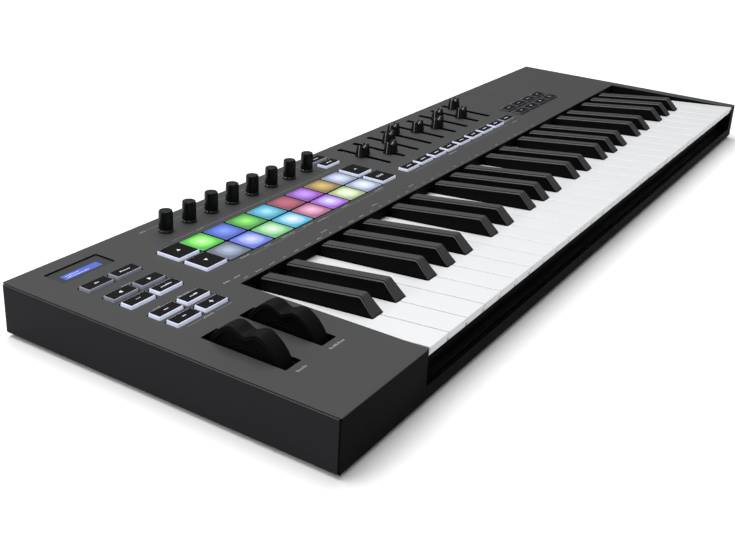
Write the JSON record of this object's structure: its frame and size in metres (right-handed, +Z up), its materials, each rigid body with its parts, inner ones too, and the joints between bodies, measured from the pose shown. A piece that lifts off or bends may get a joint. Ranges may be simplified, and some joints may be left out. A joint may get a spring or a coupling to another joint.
{
  "type": "midi keyboard",
  "caption": "Slim controller keyboard with sprung keys, backlit pads, knobs, faders, two side wheels, a small display and rear sockets.",
  "frame": {"origin": "middle of the footprint, on the surface the feet stand on", "axes": "+X to the player's right along the keys, +Y away from the player, +Z up"},
  "size_m": [0.789, 0.258, 0.0545],
  "materials": {
    "case_plastic": "fine-grained black ABS",
    "panel_plastic": "satin charcoal, very fine grain",
    "foot_rubber": "matt black rubber",
    "white_key_plastic": "white, soft gloss",
    "black_key_plastic": "black, satin top and glossy sides",
    "knob_plastic": "soft-touch black",
    "fader_plastic": "black with a pale line",
    "wheel_rubber": "soft-touch black",
    "pad_silicone": "translucent silicone, lit from below",
    "button_silicone": "black-topped translucent silicone",
    "steel": "pressed steel",
    "socket_metal": "plated shell",
    "socket_plastic": "black moulding",
    "circuit_board": "green solder resist",
    "contact_silicone": "grey silicone",
    "felt": "wool felt",
    "display_glass": "dark tinted window",
    "display_panel": "blue backlit display"
  },
  "bodies": {
    "casing": {"bottom_case": "case_plastic", "rear_panel": "case_plastic", "top_panel": "panel_plastic", "foot_1": "foot_rubber", "foot_2": "foot_rubber", "foot_3": "foot_rubber", "foot_4": "foot_rubber", "key_chassis": "steel", "key_stop_felt": "felt", "key_circuit_board": "circuit_board", "key_contact_strip": "contact_silicone", "key_hinge_clamp": "steel", "encoder_bank": "steel", "fader_bank": "steel", "wheel_bracket": "steel", "control_circuit_board": "circuit_board", "display_window": "display_glass", "display_module": "display_panel", "usb_socket": "socket_metal", "midi_socket": "socket_plastic", "sustain_jack": "socket_plastic"},
    "white_keys_cegb_1": {"white_keys_cegb_1": "white_key_plastic"},
    "white_keys_dfa_1": {"white_keys_dfa_1": "white_key_plastic"},
    "black_keys_1": {"black_keys_1": "black_key_plastic"},
    "white_keys_cegb_2": {"white_keys_cegb_2": "white_key_plastic"},
    "white_keys_dfa_2": {"white_keys_dfa_2": "white_key_plastic"},
    "black_keys_2": {"black_keys_2": "black_key_plastic"},
    "white_keys_cegb_3": {"white_keys_cegb_3": "white_key_plastic"},
    "white_keys_dfa_3": {"white_keys_dfa_3": "white_key_plastic"},
    "black_keys_3": {"black_keys_3": "black_key_plastic"},
    "white_keys_cegb_4": {"white_keys_cegb_4": "white_key_plastic"},
    "white_keys_dfa_4": {"white_keys_dfa_4": "white_key_plastic"},
    "black_keys_4": {"black_keys_4": "black_key_plastic"},
    "white_key_top_c": {"white_key_top_c": "white_key_plastic"},
    "drum_pads": {"drum_pads": "pad_silicone"},
    "scene_buttons_left": {"scene_buttons_left": "button_silicone"},
    "scene_buttons_right": {"scene_buttons_right": "button_silicone"},
    "menu_buttons": {"menu_buttons": "button_silicone"},
    "device_buttons": {"device_buttons": "button_silicone"},
    "fader_buttons": {"fader_buttons": "button_silicone"},
    "transport_buttons": {"transport_buttons": "button_silicone"},
    "knob_1": {"knob_1": "knob_plastic"},
    "knob_2": {"knob_2": "knob_plastic"},
    "knob_3": {"knob_3": "knob_plastic"},
    "knob_4": {"knob_4": "knob_plastic"},
    "knob_5": {"knob_5": "knob_plastic"},
    "knob_6": {"knob_6": "knob_plastic"},
    "knob_7": {"knob_7": "knob_plastic"},
    "knob_8": {"knob_8": "knob_plastic"},
    "fader_cap_1": {"fader_cap_1": "fader_plastic"},
    "fader_cap_2": {"fader_cap_2": "fader_plastic"},
    "fader_cap_3": {"fader_cap_3": "fader_plastic"},
    "fader_cap_4": {"fader_cap_4": "fader_plastic"},
    "fader_cap_5": {"fader_cap_5": "fader_plastic"},
    "fader_cap_6": {"fader_cap_6": "fader_plastic"},
    "fader_cap_7": {"fader_cap_7": "fader_plastic"},
    "fader_cap_8": {"fader_cap_8": "fader_plastic"},
    "fader_cap_9": {"fader_cap_9": "fader_plastic"},
    "pitch_wheel": {"pitch_wheel": "wheel_rubber"},
    "modulation_wheel": {"modulation_wheel": "wheel_rubber"}
  },
  "joints": [
    {"name": "pitch_wheel_turn", "type": "hinge", "parent": "casing", "child": "pitch_wheel", "pos_m": [-0.3665, -0.047, 0.0259], "axis": [1, 0, 0], "range_deg": [-28, 28], "stiffness_Nm_per_rad": 0.12},
    {"name": "modulation_wheel_turn", "type": "hinge", "parent": "casing", "child": "modulation_wheel", "pos_m": [-0.332, -0.047, 0.0259], "axis": [1, 0, 0], "range_deg": [-28, 28]},
    {"name": "fader_cap_1_slide", "type": "slide", "parent": "casing", "child": "fader_cap_1", "axis": [0, 1, 0], "range_m": [-0.02385, 0.02115]},
    {"name": "fader_cap_2_slide", "type": "slide", "parent": "casing", "child": "fader_cap_2", "axis": [0, 1, 0], "range_m": [-0.00967, 0.03533]},
    {"name": "fader_cap_3_slide", "type": "slide", "parent": "casing", "child": "fader_cap_3", "axis": [0, 1, 0], "range_m": [-0.02655, 0.01845]},
    {"name": "fader_cap_4_slide", "type": "slide", "parent": "casing", "child": "fader_cap_4", "axis": [0, 1, 0], "range_m": [-0.03667, 0.00833]},
    {"name": "fader_cap_5_slide", "type": "slide", "parent": "casing", "child": "fader_cap_5", "axis": [0, 1, 0], "range_m": [-0.02407, 0.02092]},
    {"name": "fader_cap_6_slide", "type": "slide", "parent": "casing", "child": "fader_cap_6", "axis": [0, 1, 0], "range_m": [-0.01575, 0.02925]},
    {"name": "fader_cap_7_slide", "type": "slide", "parent": "casing", "child": "fader_cap_7", "axis": [0, 1, 0], "range_m": [-0.02902, 0.01597]},
    {"name": "fader_cap_8_slide", "type": "slide", "parent": "casing", "child": "fader_cap_8", "axis": [0, 1, 0], "range_m": [-0.01485, 0.03015]},
    {"name": "fader_cap_9_slide", "type": "slide", "parent": "casing", "child": "fader_cap_9", "axis": [0, 1, 0], "range_m": [-0.03667, 0.00833]},
    {"name": "drum_pads_press", "type": "slide", "parent": "casing", "child": "drum_pads", "axis": [0, 0, -1], "range_m": [0, 0.0008], "stiffness_N_per_m": 1500, "springref_m": -0.001},
    {"name": "scene_buttons_left_press", "type": "slide", "parent": "casing", "child": "scene_buttons_left", "axis": [0, 0, -1], "range_m": [0, 0.001], "stiffness_N_per_m": 1500, "springref_m": -0.001},
    {"name": "scene_buttons_right_press", "type": "slide", "parent": "casing", "child": "scene_buttons_right", "axis": [0, 0, -1], "range_m": [0, 0.001], "stiffness_N_per_m": 1500, "springref_m": -0.001},
    {"name": "menu_buttons_press", "type": "slide", "parent": "casing", "child": "menu_buttons", "axis": [0, 0, -1], "range_m": [0, 0.001], "stiffness_N_per_m": 1500, "springref_m": -0.001},
    {"name": "device_buttons_press", "type": "slide", "parent": "casing", "child": "device_buttons", "axis": [0, 0, -1], "range_m": [0, 0.001], "stiffness_N_per_m": 1500, "springref_m": -0.001},
    {"name": "fader_buttons_press", "type": "slide", "parent": "casing", "child": "fader_buttons", "axis": [0, 0, -1], "range_m": [0, 0.001], "stiffness_N_per_m": 1500, "springref_m": -0.001},
    {"name": "transport_buttons_press", "type": "slide", "parent": "casing", "child": "transport_buttons", "axis": [0, 0, -1], "range_m": [0, 0.001], "stiffness_N_per_m": 1500, "springref_m": -0.001},
    {"name": "white_keys_cegb_1_press", "type": "hinge", "parent": "casing", "child": "white_keys_cegb_1", "pos_m": [-0.21971, 0.058, 0.01957], "axis": [1, 0, 0], "range_deg": [0, 3], "stiffness_Nm_per_rad": 8.8, "springref_deg": -6.88},
    {"name": "white_keys_dfa_1_press", "type": "hinge", "parent": "casing", "child": "white_keys_dfa_1", "pos_m": [-0.21971, 0.058, 0.01957], "axis": [1, 0, 0], "range_deg": [0, 3], "stiffness_Nm_per_rad": 6.6, "springref_deg": -6.88},
    {"name": "black_keys_1_press", "type": "hinge", "parent": "casing", "child": "black_keys_1", "pos_m": [-0.21971, 0.058, 0.01957], "axis": [1, 0, 0], "range_deg": [0, 2.8], "stiffness_Nm_per_rad": 11, "springref_deg": -6.88},
    {"name": "white_keys_cegb_2_press", "type": "hinge", "parent": "casing", "child": "white_keys_cegb_2", "pos_m": [-0.05471, 0.058, 0.01957], "axis": [1, 0, 0], "range_deg": [0, 3], "stiffness_Nm_per_rad": 8.8, "springref_deg": -6.88},
    {"name": "white_keys_dfa_2_press", "type": "hinge", "parent": "casing", "child": "white_keys_dfa_2", "pos_m": [-0.05471, 0.058, 0.01957], "axis": [1, 0, 0], "range_deg": [0, 3], "stiffness_Nm_per_rad": 6.6, "springref_deg": -6.88},
    {"name": "black_keys_2_press", "type": "hinge", "parent": "casing", "child": "black_keys_2", "pos_m": [-0.05471, 0.058, 0.01957], "axis": [1, 0, 0], "range_deg": [0, 2.8], "stiffness_Nm_per_rad": 11, "springref_deg": -6.88},
    {"name": "white_keys_cegb_3_press", "type": "hinge", "parent": "casing", "child": "white_keys_cegb_3", "pos_m": [0.11027, 0.058, 0.01957], "axis": [1, 0, 0], "range_deg": [0, 3], "stiffness_Nm_per_rad": 8.8, "springref_deg": -6.88},
    {"name": "white_keys_dfa_3_press", "type": "hinge", "parent": "casing", "child": "white_keys_dfa_3", "pos_m": [0.11027, 0.058, 0.01957], "axis": [1, 0, 0], "range_deg": [0, 3], "stiffness_Nm_per_rad": 6.6, "springref_deg": -6.88},
    {"name": "black_keys_3_press", "type": "hinge", "parent": "casing", "child": "black_keys_3", "pos_m": [0.11027, 0.058, 0.01957], "axis": [1, 0, 0], "range_deg": [0, 2.8], "stiffness_Nm_per_rad": 11, "springref_deg": -6.88},
    {"name": "white_keys_cegb_4_press", "type": "hinge", "parent": "casing", "child": "white_keys_cegb_4", "pos_m": [0.27526, 0.058, 0.01957], "axis": [1, 0, 0], "range_deg": [0, 3], "stiffness_Nm_per_rad": 8.8, "springref_deg": -6.88},
    {"name": "white_keys_dfa_4_press", "type": "hinge", "parent": "casing", "child": "white_keys_dfa_4", "pos_m": [0.27526, 0.058, 0.01957], "axis": [1, 0, 0], "range_deg": [0, 3], "stiffness_Nm_per_rad": 6.6, "springref_deg": -6.88},
    {"name": "black_keys_4_press", "type": "hinge", "parent": "casing", "child": "black_keys_4", "pos_m": [0.27526, 0.058, 0.01957], "axis": [1, 0, 0], "range_deg": [0, 2.8], "stiffness_Nm_per_rad": 11, "springref_deg": -6.88},
    {"name": "white_key_top_c_press", "type": "hinge", "parent": "casing", "child": "white_key_top_c", "pos_m": [0.36955, 0.058, 0.01957], "axis": [1, 0, 0], "range_deg": [0, 3], "stiffness_Nm_per_rad": 2.2, "springref_deg": -6.88},
    {"name": "knob_1_turn", "type": "hinge", "parent": "casing", "child": "knob_1", "pos_m": [-0.2702, 0.1074, 0.0383], "axis": [0, 0, -1], "range_deg": [-140, 140]},
    {"name": "knob_2_turn", "type": "hinge", "parent": "casing", "child": "knob_2", "pos_m": [-0.24585, 0.1074, 0.0383], "axis": [0, 0, -1], "range_deg": [-140, 140]},
    {"name": "knob_3_turn", "type": "hinge", "parent": "casing", "child": "knob_3", "pos_m": [-0.2215, 0.1074, 0.0383], "axis": [0, 0, -1], "range_deg": [-140, 140]},
    {"name": "knob_4_turn", "type": "hinge", "parent": "casing", "child": "knob_4", "pos_m": [-0.19715, 0.1074, 0.0383], "axis": [0, 0, -1], "range_deg": [-140, 140]},
    {"name": "knob_5_turn", "type": "hinge", "parent": "casing", "child": "knob_5", "pos_m": [-0.1728, 0.1074, 0.0383], "axis": [0, 0, -1], "range_deg": [-140, 140]},
    {"name": "knob_6_turn", "type": "hinge", "parent": "casing", "child": "knob_6", "pos_m": [-0.14845, 0.1074, 0.0383], "axis": [0, 0, -1], "range_deg": [-140, 140]},
    {"name": "knob_7_turn", "type": "hinge", "parent": "casing", "child": "knob_7", "pos_m": [-0.1241, 0.1074, 0.0383], "axis": [0, 0, -1], "range_deg": [-140, 140]},
    {"name": "knob_8_turn", "type": "hinge", "parent": "casing", "child": "knob_8", "pos_m": [-0.09975, 0.1074, 0.0383], "axis": [0, 0, -1], "range_deg": [-140, 140]}
  ]
}
